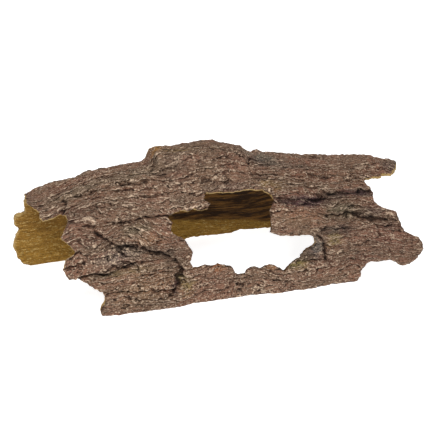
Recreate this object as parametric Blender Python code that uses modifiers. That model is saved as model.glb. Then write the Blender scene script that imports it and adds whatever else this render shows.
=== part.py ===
"""A curled piece of bark: one solid that stands on its two long edges like a low tunnel.

The bark is worked the way a sheet is. It is laid out flat, with its ragged outline and the
window in its front wall cut through, then its plates are raised, and last it is rolled over
into an arch and trimmed level underneath. On the flat sheet X runs along the grain and Y runs
round the curl: 0 is the crown, negative is the front wall, positive is the back wall.
"""
import bpy
import bmesh
import numpy as np

MM = 0.001
NAME = "bark"

# The sheet
WALL = 4.5 * MM             # thickness of the sheet before its plates are raised
CELL = 5.8 * MM             # spacing of the grid that the sheet bends along
SHEET_LENGTH = 296 * MM     # blank, a little larger than the outline
SHEET_GIRTH = 228 * MM
CUT_DEPTH = 30 * MM         # thickness of the outline that cuts the blank
TIDY = 0.25 * MM            # edges shorter than this are closed up after the cut

# The arch: a superellipse section whose reach and height change along the grain
SECTION_POWER = 2.35
FRONT_REACH = 51 * MM
BACK_REACH_AT = np.array((-140, 60, 145)) * MM
BACK_REACH = np.array((43, 57, 58)) * MM
CROWN_AT = np.array((-150, -142, -84, -50, -10, 26, 66, 127, 145, 160)) * MM
CROWN_HEIGHT = np.array((71, 73.5, 82.5, 86, 87, 84.5, 77.5, 69.5, 63, 59)) * MM
GAUGE_HEIGHT = 84 * MM      # height of the section that the girth is measured on
CROWN_LINE = (-0.5 * MM, -2.55 * MM)    # where the sheet's zero lands, from the origin

# The outline, in millimetres on the flat sheet: (along the grain, round the curl)
FRONT_LEFT = [
    (-137, 14), (-138, -3), (-136, -11), (-132, -16), (-131, -26), (-128, -29), (-119, -31),
    (-113, -30), (-111, -36), (-117, -41), (-120, -45), (-114, -54), (-111, -60), (-119, -63),
    (-121, -70), (-118, -78), (-111, -78), (-104, -85), (-93, -92), (-93, -98), (-97, -105),
    (-97, -113)]
FRONT_RIGHT = [
    (92, -113), (94, -103), (98, -96), (104, -95), (118, -95), (127, -102), (136, -100),
    (139, -92), (143, -84), (139, -75), (126, -68), (126, -61), (122, -54), (113, -50),
    (109, -45), (106, -40), (108, -35), (106, -27), (120, -24), (128, -22), (134, -13),
    (140, 0), (145, 9)]
BACK_RIGHT = [
    (142, 18), (134, 24), (131, 36), (126, 43), (131, 52), (134, 64), (129, 76), (123, 84),
    (126, 97), (120, 104), (118, 113)]
BACK_LEFT = [
    (64, 113), (60, 109), (40, 107.5), (14, 108.5), (-8, 107), (-16, 110), (-22, 113),
    (-131, 113), (-137, 106), (-142, 99), (-144, 88), (-141, 72), (-144, 59), (-142, 54),
    (-132, 54), (-133, 40), (-135, 28)]
WINDOW = [
    (-16, -36), (0, -36), (12, -35.5), (26, -37), (30, -43), (28, -50), (28, -59), (27, -66),
    (34, -68.5), (59, -69), (58, -75), (51, -81), (49, -86), (41, -89), (36, -94.5),
    (31, -92), (25, -89), (20, -91), (11, -90), (6, -94.5), (1, -94), (-3, -88), (-12, -84.5),
    (-17, -86), (-23, -84), (-32, -85), (-33, -80), (-30.5, -74), (-35, -65), (-45, -57),
    (-43, -47), (-24, -46.5), (-17, -44)]

# The burl on the crown: its height along the grain, and how it fades round the curl
BURL_AT = np.array((-51, -47, -42, -33, -23, -8, 2, 12, 21)) * MM
BURL_HEIGHT = np.array((0, 7, 11, 10, 11.5, 12.5, 9.5, 4.5, 0)) * MM
BURL_FADE_AT = np.array((-30, -10, 14, 44)) * MM
BURL_FADE = np.array((0, 1, 1, 0))

# Plate edges, in millimetres: the edge, how far it stands up, how far it takes to fall away
# behind, and the side of the edge that is raised (+1 is on the left of its direction)
PLATE_EDGES = [
    ([(-114, -42), (-90, -43), (-60, -44), (-40, -46), (-16, -45)], 3.0, 26, 1),
    ([(-97, -45), (-88, -56), (-66, -64), (-52, -70), (-41, -78), (-38, -88)], 3.2, 18, 1),
    ([(-112, -77), (-90, -78), (-66, -74)], 2.6, 16, 1),
    ([(-92, -92), (-73, -95), (-46, -97)], 1.4, 12, 1),
    ([(33, -40), (50, -45), (70, -45)], 1.6, 16, 1),
    ([(68, -46), (60, -58), (66, -70)], 2.2, 18, -1),
    ([(66, -39), (88, -39), (107, -38)], 1.8, 14, 1),
    ([(72, -54), (95, -55), (119, -53)], 1.8, 12, 1),
    ([(92, -58), (106, -62), (126, -69)], 2.0, 24, -1),
    ([(24, -20), (58, -21), (78, -17), (108, -20)], 1.2, 16, 1),
    ([(-110, 30), (-70, 38), (-20, 34), (10, 44)], 2.4, 22, -1),
    ([(-126, 74), (-92, 68), (-52, 78), (-30, 72)], 2.6, 24, -1),
    ([(20, 52), (58, 60), (96, 54), (124, 62)], 2.4, 22, -1),
    ([(-20, 84), (22, 90), (66, 82), (104, 90)], 2.2, 20, -1)]
EDGE_WIDTH = 1.5 * MM       # the drop at a plate's edge
EDGE_FADE = 5 * MM          # how a plate's edge dies out past its ends


def section_gauge():
    """Girth from the crown to the floor on the gauge section, with its reach and height."""
    turn = np.linspace(0, np.pi / 2, 361)
    reach = np.sin(turn) ** (2 / SECTION_POWER)
    height = np.cos(turn) ** (2 / SECTION_POWER)
    steps = np.hypot(np.diff(reach * FRONT_REACH), np.diff(height * GAUGE_HEIGHT))
    return np.concatenate([[0], np.cumsum(steps)]), reach, height


def arch_point(along, girth):
    """The arch's middle surface at a place on the flat sheet: y and z before any thickness."""
    gauge, reach, height = section_gauge()
    away = np.abs(girth)
    below = np.maximum(away - gauge[-1], 0)
    half = np.where(girth < 0, FRONT_REACH, np.interp(along, BACK_REACH_AT, BACK_REACH))
    y = np.sign(girth) * np.interp(away, gauge, reach) * half
    z = np.interp(away, gauge, height) * np.interp(along, CROWN_AT, CROWN_HEIGHT) - below
    return y, z


def roll(points):
    """Roll flat points (along, girth, depth) over into the arch."""
    along, girth, depth = points.T
    step = 0.5 * MM
    y, z = arch_point(along, girth)
    y_before, z_before = arch_point(along, girth - step)
    y_after, z_after = arch_point(along, girth + step)
    run, drop = y_after - y_before, z_after - z_before
    size = np.hypot(run, drop)
    rolled = (along + CROWN_LINE[0], y - depth * drop / size + CROWN_LINE[1], z + depth * run / size)
    return np.stack(rolled, axis=1)


def edge_distance(along, girth, edge):
    """Distance from a plate's edge, signed by side, and the nearest place along it."""
    nearest = np.full(len(along), np.inf)
    side = np.zeros(len(along))
    past = np.zeros(len(along))
    ends = np.array(edge) * MM
    for index, (start, end) in enumerate(zip(ends[:-1], ends[1:])):
        run = end - start
        offset = np.stack([along, girth], axis=1) - start
        place = offset @ run / (run @ run)
        foot = offset - np.clip(place, 0, 1)[:, None] * run
        away = np.hypot(*foot.T)
        closer = away < nearest
        first, last = index == 0, index == len(ends) - 2
        over = np.maximum(-place if first else 0, place - 1 if last else 0)
        nearest = np.where(closer, away, nearest)
        side = np.where(closer, np.sign(run[0] * offset[:, 1] - run[1] * offset[:, 0]), side)
        past = np.where(closer, np.maximum(over, 0) * np.hypot(*run), past)
    return nearest * side, past


def relief(along, girth):
    """How far the outer face stands above the plain sheet."""
    burl = np.interp(along, BURL_AT, BURL_HEIGHT)
    height = burl * np.interp(girth, BURL_FADE_AT, BURL_FADE)
    for edge, rise, reach, side in PLATE_EDGES:
        distance, past = edge_distance(along, girth, edge)
        inward = distance * side
        step = np.clip(inward / EDGE_WIDTH + 0.5, 0, 1)
        slope = np.exp(-np.maximum(inward, 0) / (reach * MM))
        height = height + rise * MM * step * slope * np.exp(-past / EDGE_FADE)
    return height


def collection(name):
    made = bpy.data.collections.new(name)
    bpy.context.scene.collection.children.link(made)
    return made


def move_to(obj, target):
    for holder in obj.users_collection:
        holder.objects.unlink(obj)
    target.objects.link(obj)
    return obj


def bark_material():
    material = bpy.data.materials.new("bark_brown")
    material.use_nodes = True
    surface = material.node_tree.nodes["Principled BSDF"]
    surface.inputs["Base Color"].default_value = (0.16, 0.095, 0.065, 1)
    surface.inputs["Roughness"].default_value = 0.85
    surface.inputs["Metallic"].default_value = 0.0
    return material


def outline_cutter(name, loops, target):
    """A flat outline with its holes, as a closed solid that cuts the sheet."""
    curve = bpy.data.curves.new(name, "CURVE")
    curve.dimensions = "2D"
    curve.fill_mode = "BOTH"
    curve.extrude = CUT_DEPTH / 2
    for loop in loops:
        spline = curve.splines.new("POLY")
        spline.points.add(len(loop) - 1)
        for point, (along, girth) in zip(spline.points, loop):
            point.co = (along * MM, girth * MM, 0, 1)
        spline.use_cyclic_u = True
    drawn = bpy.data.objects.new(name + "_curve", curve)
    target.objects.link(drawn)
    bpy.context.view_layer.update()
    graph = bpy.context.evaluated_depsgraph_get()
    mesh = bpy.data.meshes.new_from_object(drawn.evaluated_get(graph))
    weld = bmesh.new()
    weld.from_mesh(mesh)
    bmesh.ops.remove_doubles(weld, verts=weld.verts, dist=0.01 * MM)
    weld.to_mesh(mesh)
    weld.free()
    cutter = bpy.data.objects.new(name, mesh)
    cutter.matrix_world = drawn.matrix_world
    target.objects.link(cutter)
    bpy.data.objects.remove(drawn)
    return hide_cutter(cutter)


def hide_cutter(cutter):
    cutter.hide_render = True
    cutter.display_type = "WIRE"
    return cutter


def cut(obj, cutter, operation):
    modifier = obj.modifiers.new(cutter.name, "BOOLEAN")
    modifier.operation = operation
    modifier.object = cutter
    modifier.solver = "EXACT"


def flat_sheet(cutter, target):
    """The blank: a grid given its thickness, cut to the outline."""
    bpy.ops.mesh.primitive_grid_add(
        x_subdivisions=round(SHEET_LENGTH / CELL), y_subdivisions=round(SHEET_GIRTH / CELL),
        size=1)
    sheet = move_to(bpy.context.object, target)
    sheet.scale = (SHEET_LENGTH, SHEET_GIRTH, 1)
    bpy.ops.object.transform_apply(scale=True)
    wall = sheet.modifiers.new("wall", "SOLIDIFY")
    wall.thickness = WALL
    wall.offset = -1
    cut(sheet, cutter, "INTERSECT")
    return sheet


def worked_mesh(sheet):
    """The cut sheet as triangles, its plates raised, rolled over into the arch."""
    bpy.context.view_layer.update()
    graph = bpy.context.evaluated_depsgraph_get()
    mesh = bpy.data.meshes.new_from_object(sheet.evaluated_get(graph))
    work = bmesh.new()
    work.from_mesh(mesh)
    bmesh.ops.remove_doubles(work, verts=work.verts, dist=TIDY)
    bmesh.ops.triangulate(work, faces=work.faces)
    bmesh.ops.dissolve_degenerate(work, edges=work.edges, dist=TIDY)
    bmesh.ops.triangulate(work, faces=work.faces)
    work.to_mesh(mesh)
    work.free()
    points = np.empty(len(mesh.vertices) * 3)
    mesh.vertices.foreach_get("co", points)
    points = points.reshape(-1, 3)
    outward = np.clip(points[:, 2] / WALL + 1, 0, 1)    # 1 on the outer face, 0 inside
    points[:, 2] += relief(points[:, 0], points[:, 1]) * outward
    mesh.vertices.foreach_set("co", roll(points).ravel())
    mesh.update()
    return mesh


def ground_cutter(target):
    """A block whose top is the floor: it trims the long edges level."""
    depth = 40 * MM
    bpy.ops.mesh.primitive_cube_add(size=1, location=(0, 0, -depth / 2))
    block = move_to(bpy.context.object, target)
    block.name = "ground"
    block.scale = (400 * MM, 200 * MM, depth)
    bpy.ops.object.transform_apply(scale=True)
    return hide_cutter(block)


def build():
    for old in list(bpy.data.objects):
        bpy.data.objects.remove(old)
    parts = collection("piece_of_bark")
    cutters = collection("cutters")
    outline = FRONT_LEFT + FRONT_RIGHT + BACK_RIGHT + BACK_LEFT
    cutter = outline_cutter("outline", [outline, WINDOW], cutters)
    sheet = flat_sheet(cutter, cutters)
    bark = bpy.data.objects.new(NAME, worked_mesh(sheet))
    bpy.data.objects.remove(sheet)
    parts.objects.link(bark)
    bark.data.materials.clear()
    bark.data.materials.append(bark_material())
    cut(bark, ground_cutter(cutters), "DIFFERENCE")
    return bark


build()
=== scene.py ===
# %% [markdown]
# # A curled piece of bark
# This lesson finishes one natural piece: a sheet of bark that has rolled over into a low tunnel.
# The plain solid is already built to size. Here it gets its real surface: the broken plates, the
# cracks between them, the scaly grain, the worn tan ridges and the smooth ochre inside.
#
# The first lines load that solid as a fixed frame. Everything made below must sit where it sits.

# %% Load the frame
import math

import bpy
import numpy as np
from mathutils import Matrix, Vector


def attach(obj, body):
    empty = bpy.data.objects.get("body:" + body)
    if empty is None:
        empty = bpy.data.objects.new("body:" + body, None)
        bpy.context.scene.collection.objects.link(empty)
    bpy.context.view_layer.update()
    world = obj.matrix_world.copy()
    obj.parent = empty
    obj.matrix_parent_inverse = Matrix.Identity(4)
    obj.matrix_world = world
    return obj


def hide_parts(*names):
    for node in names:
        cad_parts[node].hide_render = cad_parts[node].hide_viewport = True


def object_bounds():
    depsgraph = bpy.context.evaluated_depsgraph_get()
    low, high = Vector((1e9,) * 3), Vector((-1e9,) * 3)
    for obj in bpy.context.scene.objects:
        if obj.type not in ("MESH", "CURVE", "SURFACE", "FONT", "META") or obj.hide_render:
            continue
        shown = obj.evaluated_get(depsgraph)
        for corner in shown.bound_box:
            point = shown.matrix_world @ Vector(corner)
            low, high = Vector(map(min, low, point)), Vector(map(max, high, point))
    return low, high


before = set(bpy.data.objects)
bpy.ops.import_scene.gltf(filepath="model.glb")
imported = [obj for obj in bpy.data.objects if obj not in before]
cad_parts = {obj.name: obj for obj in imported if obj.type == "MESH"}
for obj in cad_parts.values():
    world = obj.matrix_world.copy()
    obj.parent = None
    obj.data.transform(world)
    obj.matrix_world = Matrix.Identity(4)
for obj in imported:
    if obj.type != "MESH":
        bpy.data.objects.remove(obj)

cad_low, cad_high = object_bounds()
MM = 0.001
print("The plain solid runs from", tuple(cad_low), "to", tuple(cad_high))

# %% [markdown]
# ## Camera and studio
# The bark is looked at from a little above and from its left, from nearly a metre away with a
# long lens, so that it hardly tapers with distance.
#
# A pale floor, two soft lamps and an even pale surround stand in for a product tent. The first
# lamp stands high in front and to the left, and gives every scale a lit and a shaded side. The
# second hangs overhead and is wide, and only opens up the shadows. The floor glows a little, as
# lit paper does in a tent, so it stays white and throws some light up into the tunnel.

# %% Camera
TURN = math.radians(-15.9)
RISE = math.radians(24.0)
DISTANCE = 883 * MM
LENS = 100
SENSOR = 36
AIM_OFF_CENTRE = (-0.1 * MM, -0.45 * MM)
AIM_HEIGHT = 40 * MM
centre = (cad_low + cad_high) / 2
aim = Vector((centre.x + AIM_OFF_CENTRE[0], centre.y + AIM_OFF_CENTRE[1], cad_low.z + AIM_HEIGHT))
back = Vector((math.sin(TURN) * math.cos(RISE), -math.cos(TURN) * math.cos(RISE), math.sin(RISE)))
bpy.ops.object.camera_add(location=aim + back * DISTANCE)
camera = bpy.context.object
camera.rotation_euler = (-back).to_track_quat("-Z", "Y").to_euler()
camera.data.lens = LENS
camera.data.sensor_width = SENSOR
bpy.context.scene.camera = camera
print("The camera stands at", tuple(round(value, 3) for value in camera.location))


# %% Floor, surround and lamps
FLOOR_SIZE = 30
FLOOR_GREY, FLOOR_GLOW = 0.6, 0.9
SURROUND_GLOW = 0.35


def soft_lamp(name, place, size, power):
    """A square lamp that faces the bark."""
    bpy.ops.object.light_add(type="AREA", location=place)
    lamp = bpy.context.object
    lamp.name = name
    lamp.rotation_euler = (aim - lamp.location).to_track_quat("-Z", "Y").to_euler()
    lamp.data.size = size
    lamp.data.energy = power
    print(name, "is", size, "m wide and gives", power, "W")


bpy.ops.mesh.primitive_plane_add(size=FLOOR_SIZE, location=(0, 0, cad_low.z))
floor = bpy.context.object
floor.name = "floor"
paper = bpy.data.materials.new("pale_paper")
paper.use_nodes = True
paper_surface = paper.node_tree.nodes["Principled BSDF"].inputs
paper_surface["Base Color"].default_value = (FLOOR_GREY, FLOOR_GREY, FLOOR_GREY, 1)
paper_surface["Roughness"].default_value = 0.9
paper_surface["Emission Color"].default_value = (1, 1, 1, 1)
paper_surface["Emission Strength"].default_value = FLOOR_GLOW
floor.data.materials.append(paper)

surround = bpy.data.worlds.new("pale_surround")
bpy.context.scene.world = surround
surround.use_nodes = True
surround.node_tree.nodes["Background"].inputs["Color"].default_value = (1, 1, 1, 1)
surround.node_tree.nodes["Background"].inputs["Strength"].default_value = SURROUND_GLOW
soft_lamp("front_lamp", (-0.35, -0.8, 0.9), 0.35, 11)
soft_lamp("top_lamp", (0.15, 0.1, 1.2), 0.6, 4)
bpy.context.scene.view_settings.view_transform = "Standard"
print("The floor is level with z =", cad_low.z)

# %% [markdown]
# ## The sheet and how it curls
# Bark grows round a trunk, and a piece that comes off rolls up further as it dries. It could be
# carved on the curve, but it is easier to work it flat and to roll it last, because then "along
# the grain" and "round the curl" are plain X and Y. Zero is the crown, negative is the front wall
# and positive is the back wall. All lengths on the flat sheet are in millimetres.
#
# The arch is a superellipse, squarer than a circle. Its height and its reach to the back change
# along the grain, so the tunnel is highest left of its middle and narrower at its left end. The
# length round the curl is measured once, on a gauge arch, and the flat sheet's girth is read off
# that gauge. `CROWN_LINE` is where the flat sheet's middle lands in the frame.

# %% The arch
WALL = 4.5
SECTION_POWER = 2.35
FRONT_REACH = 51
BACK_REACH_AT, BACK_REACH = (-140, 60, 145), (43, 57, 58)
CROWN_AT = (-150, -142, -138, -132, -113, -84, -50, -10, 26, 66, 127, 145, 160)
CROWN_HEIGHT = (74, 74.5, 74.5, 73, 76.6, 82.2, 86, 87, 84.5, 77.5, 69.5, 63, 59)
GAUGE_HEIGHT = 84
CROWN_LINE = (-0.5, -2.55)
SLOPE_STEP = 0.5

quarter = np.linspace(0, np.pi / 2, 721)
gauge_reach = np.sin(quarter) ** (2 / SECTION_POWER)
gauge_height = np.cos(quarter) ** (2 / SECTION_POWER)
gauge_steps = np.hypot(np.diff(gauge_reach * FRONT_REACH), np.diff(gauge_height * GAUGE_HEIGHT))
gauge = np.concatenate([[0], np.cumsum(gauge_steps)])
FOOT = gauge[-1]


def arch(along, girth):
    """Where a place on the flat sheet lands across and up, before any thickness."""
    half = np.where(girth < 0, FRONT_REACH, np.interp(along, BACK_REACH_AT, BACK_REACH))
    away = np.abs(girth)
    across = np.sign(girth) * np.interp(away, gauge, gauge_reach) * half
    up = np.interp(away, gauge, gauge_height) * np.interp(along, CROWN_AT, CROWN_HEIGHT)
    return across, up - np.maximum(away - FOOT, 0)


def roll(along, girth, depth):
    """Roll places on the flat sheet over into the arch, in metres."""
    across, up = arch(along, girth)
    across_before, up_before = arch(along, girth - SLOPE_STEP)
    across_after, up_after = arch(along, girth + SLOPE_STEP)
    run, drop = across_after - across_before, up_after - up_before
    size = np.hypot(run, drop)
    x = along + CROWN_LINE[0]
    y = across - depth * drop / size + CROWN_LINE[1]
    z = np.maximum(up + depth * run / size, 0)
    return np.stack([x, y, z], axis=1) * MM


print("From the crown to the floor is", round(float(FOOT), 1), "mm round the curl")

# %% [markdown]
# ## The outline
# The ends of the sheet and the window are torn edges. Their corners are listed, and the
# small bites between the corners come later, when the whole sheet is nudged about by a fine
# wobble. The list runs round the sheet, front wall first. The window is a ring of its own.

# %% Corners of the torn edges
FRONT_LEFT = [
    (-137, 14), (-138, -2), (-137, -9), (-132.5, -17), (-131, -22), (-132, -27), (-131, -29.5),
    (-123, -29), (-119, -28), (-115, -28.5), (-113.5, -34), (-116.5, -40), (-120, -45),
    (-114, -54), (-111, -60), (-119, -63), (-121, -70), (-118, -79), (-111, -79), (-104, -87),
    (-94, -93.5), (-93, -98), (-97, -105), (-97, -FOOT)]
FRONT_RIGHT = [
    (92, -FOOT), (94, -103), (98, -96), (104, -95), (118, -95), (127, -102), (135, -100),
    (140, -94), (143.5, -88), (143.5, -81), (140, -75), (128, -69), (127, -61), (125, -53),
    (115, -49), (110, -45), (108, -40), (109, -35), (106.5, -28), (105.5, -21.5), (119, -18),
    (121, -17.5), (121.5, -15), (130, -13.5), (135, -8), (140, 0), (145, 9)]
BACK_RIGHT = [
    (142, 18), (134, 24), (131, 36), (126, 43), (131, 52), (134, 64), (129, 76), (123, 84),
    (126, 97), (120, 104), (118, FOOT)]
BACK_LEFT = [
    (64, FOOT), (60, 109), (40, 107.5), (14, 108.5), (-8, 107), (-16, 110), (-22, FOOT),
    (-133, FOOT), (-139, 108), (-143, 100), (-145, 88), (-141, 74), (-143.5, 66),
    (-143.5, 60), (-136, 58), (-135.5, 46), (-136.5, 28)]
WINDOW = [
    (-17, -33.6), (-9, -34.2), (0, -34.8), (11, -33.8), (25, -34.2), (30.5, -37.2), (32, -43),
    (28, -50), (28, -59), (27, -66), (34, -68.5), (59, -69), (58, -75), (51, -81), (49, -86),
    (41, -89), (36, -94.5), (31, -92), (25, -89), (20, -91), (11, -90), (6, -94.5), (1, -94),
    (-3, -88), (-12, -84.5), (-17, -86), (-23, -84), (-32, -85), (-33, -80), (-30.5, -74),
    (-35, -65), (-45, -57), (-44, -51), (-46, -46), (-43, -46.6), (-37, -43.2), (-32, -44.6),
    (-27, -44.2), (-23, -46.4), (-17, -45.6), (-14.5, -43), (-19, -39.5)]
OUTLINE = FRONT_LEFT + FRONT_RIGHT + BACK_RIGHT + BACK_LEFT
print(len(OUTLINE), "corners round the sheet and", len(WINDOW), "round the window")

# %% [markdown]
# ## Chance that repeats
# Real bark never repeats, but the lesson has to give the same piece each time. So the chance in
# it comes from a small scrambling sum on whole numbers. `noise` blends a random slope at each
# crossing of a grid, which is the classic gradient noise. `fractal` adds finer copies to it, and
# `ridged` folds it so that its zero lines become sharp crests.

# %% Noise
def chance(column, row, seed):
    """A fixed random number from 0 to 1 for each whole column and row, from scrambled digits."""
    mixed = (column * 374761393 + row * 668265263 + seed * 974711) & 0xFFFFFFFF
    mixed = ((mixed ^ (mixed >> 13)) * 1274126177) & 0xFFFFFFFF
    return ((mixed ^ (mixed >> 16)) & 0xFFFFFF) / 0x1000000


def noise(across, down, seed):
    """Gradient noise, about -1 to 1, whose bumps are about one unit wide."""
    column, row = np.floor(across).astype(np.int64), np.floor(down).astype(np.int64)
    right, below = across - column, down - row
    blend_right = right ** 3 * (right * (right * 6 - 15) + 10)
    blend_below = below ** 3 * (below * (below * 6 - 15) + 10)

    def slope(step_right, step_below):
        angle = 2 * np.pi * chance(column + step_right, row + step_below, seed)
        return np.cos(angle) * (right - step_right) + np.sin(angle) * (below - step_below)

    top = slope(0, 0) + (slope(1, 0) - slope(0, 0)) * blend_right
    bottom = slope(0, 1) + (slope(1, 1) - slope(0, 1)) * blend_right
    return 1.5 * (top + (bottom - top) * blend_below)


def fractal(across, down, seed, layers=3, gain=0.5):
    """Noise with finer and weaker noise added to it."""
    total, weight = 0, 1
    for layer in range(layers):
        total = total + weight * noise(across * 2 ** layer, down * 2 ** layer, seed + layer)
        weight *= gain
    return total


def ridged(across, down, seed, layers=2, gain=0.5):
    """Sharp crests, about 0 to 1."""
    total, weight, whole = 0, 1, 0
    for layer in range(layers):
        folded = 1 - np.abs(noise(across * 2 ** layer, down * 2 ** layer, seed + layer))
        total = total + weight * folded * folded
        whole += weight
        weight *= gain
    return total / whole


print("A few chances:", chance(np.arange(3), np.arange(3), 7).round(3))

# %% [markdown]
# ## The relief map
# The outside of the bark is carved as a map of heights over the flat sheet, one number each half
# millimetre. A map is quick to carve with sums, and it can be blurred to ask how high a place
# stands over its neighbours, which the colours need later.
#
# Bark cracks along lines, so the places that each line is measured from are first nudged by a
# wobble. Then a straight line between two corners comes out ragged. `near_edge` is a map of its
# own, 1 along every torn edge and 0 further in.

# %% The map's grid and its wobble
STEP = 0.5
along_line = np.arange(-152, 152 + STEP, STEP)
girth_line = np.arange(-116, 116 + STEP, STEP)
ALONG, GIRTH = np.meshgrid(along_line, girth_line, indexing="ij")


def wobble(along, girth, seed):
    """A nudge in millimetres, made of a broad and a fine part."""
    broad = 1.5 * noise(along / 11, girth / 8, seed)
    middle = 0.8 * noise(along / 4, girth / 3, seed + 1)
    fine = 0.35 * noise(along / 1.7, girth / 1.4, seed + 2)
    return broad + middle + fine


ALONG_RAGGED = ALONG + wobble(ALONG, GIRTH, 11)
GIRTH_RAGGED = GIRTH + wobble(ALONG, GIRTH, 21)


def blurred(field, radius):
    """The map averaged over a soft disc of this radius in millimetres."""
    waves_along = np.fft.fftfreq(field.shape[0], STEP)[:, None]
    waves_girth = np.fft.rfftfreq(field.shape[1], STEP)[None, :]
    keep = np.exp(-2 * (np.pi * radius) ** 2 * (waves_along ** 2 + waves_girth ** 2))
    return np.fft.irfft2(np.fft.rfft2(field) * keep, s=field.shape)


def smooth_step(value, low, high):
    """0 below low, 1 above high and an S between them."""
    part = np.clip((value - low) / (high - low), 0, 1)
    return part * part * (3 - 2 * part)


def read_map(field, along, girth):
    """The map's value at places between its numbers."""
    column = np.clip((along - along_line[0]) / STEP, 0, len(along_line) - 1.001)
    row = np.clip((girth - girth_line[0]) / STEP, 0, len(girth_line) - 1.001)
    left, top = column.astype(int), row.astype(int)
    right, down = column - left, row - top
    upper = field[left, top] * (1 - right) + field[left + 1, top] * right
    lower = field[left, top + 1] * (1 - right) + field[left + 1, top + 1] * right
    return upper * (1 - down) + lower * down


def inside_outline(corners):
    """A map that is 1 inside a ring of corners and 0 outside, by counting crossings."""
    found = np.zeros(ALONG.shape, bool)
    for (from_x, from_y), (to_x, to_y) in zip(corners, corners[1:] + corners[:1]):
        if from_y == to_y:
            continue
        spans = (from_y > GIRTH) != (to_y > GIRTH)
        crossing = from_x + (GIRTH - from_y) * (to_x - from_x) / (to_y - from_y)
        found ^= spans & (ALONG < crossing)
    return found.astype(float)


FOOT_BAND = 6
EDGE_BLUR = 2.2
solid_map = inside_outline(OUTLINE) - inside_outline(WINDOW)
foot_band = np.abs(GIRTH) > FOOT - FOOT_BAND          # counts as inside, so the feet stay square
near_edge = 1 - smooth_step(blurred(np.where(foot_band, 1, solid_map), EDGE_BLUR), 0.5, 0.98)
print("The map has", ALONG.size, "heights, and", int(solid_map.sum() * STEP ** 2), "square mm of bark")

# %% [markdown]
# ## Plate edges and cracks
# Old bark breaks into plates. A plate stands up at its lower edge and sinks back into the wall
# behind it, and a dark gap runs under the edge. One line is enough to carve that: the drop is
# sharp on one side of the line and dies away on the other. `up` says which side is raised, +1
# for the left of the line's direction.

# %% Lines to measure from
def line_distance(line, reach):
    """A window of the map round a line, the signed distance from it, and how far past its ends."""
    ends = np.array(line, float)
    low, high = ends.min(axis=0) - reach, ends.max(axis=0) + reach
    rows = slice(*np.searchsorted(along_line, (low[0], high[0])))
    columns = slice(*np.searchsorted(girth_line, (low[1], high[1])))
    across, down = ALONG_RAGGED[rows, columns], GIRTH_RAGGED[rows, columns]
    nearest = np.full(across.shape, np.inf)
    side = np.ones(across.shape)
    past = np.zeros(across.shape)
    for index, (start, end) in enumerate(zip(ends[:-1], ends[1:])):
        run = end - start
        length = math.hypot(*run)
        offset_x, offset_y = across - start[0], down - start[1]
        place = (offset_x * run[0] + offset_y * run[1]) / length
        held = np.clip(place, 0, length)
        away = np.hypot(offset_x - held * run[0] / length, offset_y - held * run[1] / length)
        over = np.zeros(across.shape)
        if index == 0:
            over = np.maximum(over, -place)
        if index == len(ends) - 2:
            over = np.maximum(over, place - length)
        closer = away < nearest
        nearest = np.where(closer, away, nearest)
        side = np.where(closer, np.sign(run[0] * offset_y - run[1] * offset_x), side)
        past = np.where(closer, over, past)
    return (rows, columns), nearest * side, past


strength = np.clip(0.95 + 0.55 * noise(ALONG / 8, GIRTH / 6, 77), 0.45, 1.4)


def plate_edge(heights, line, rise, reach, up, gap=0.0, gap_width=1.5):
    """Raise one side of a line and cut a gap under its edge, here more and there less."""
    window, distance, past = line_distance(line, 3.0 * reach)
    inward = distance * up
    fade = np.exp(-(past / 3) ** 2) * strength[window]
    step = smooth_step(inward, -0.5, 0.5)
    heights[window] += rise * step * np.exp(-np.maximum(inward, 0) / reach) * fade
    below = -np.minimum(inward + 0.5, 0) / gap_width
    low_side = 0.5 * np.exp(-below ** 2) + 0.5 * np.exp(-(below / 2.4) ** 2)
    heights[window] -= 0.85 * gap * low_side * (1 - step) * fade


def crack(heights, line, width, depth):
    """Cut a groove along a line."""
    window, distance, past = line_distance(line, 4 * width + 3)
    heights[window] -= depth * np.exp(-(distance / width) ** 2) * np.exp(-(past / 2) ** 2)


print("Each line is measured only near itself, so a hundred of them are quick")
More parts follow.
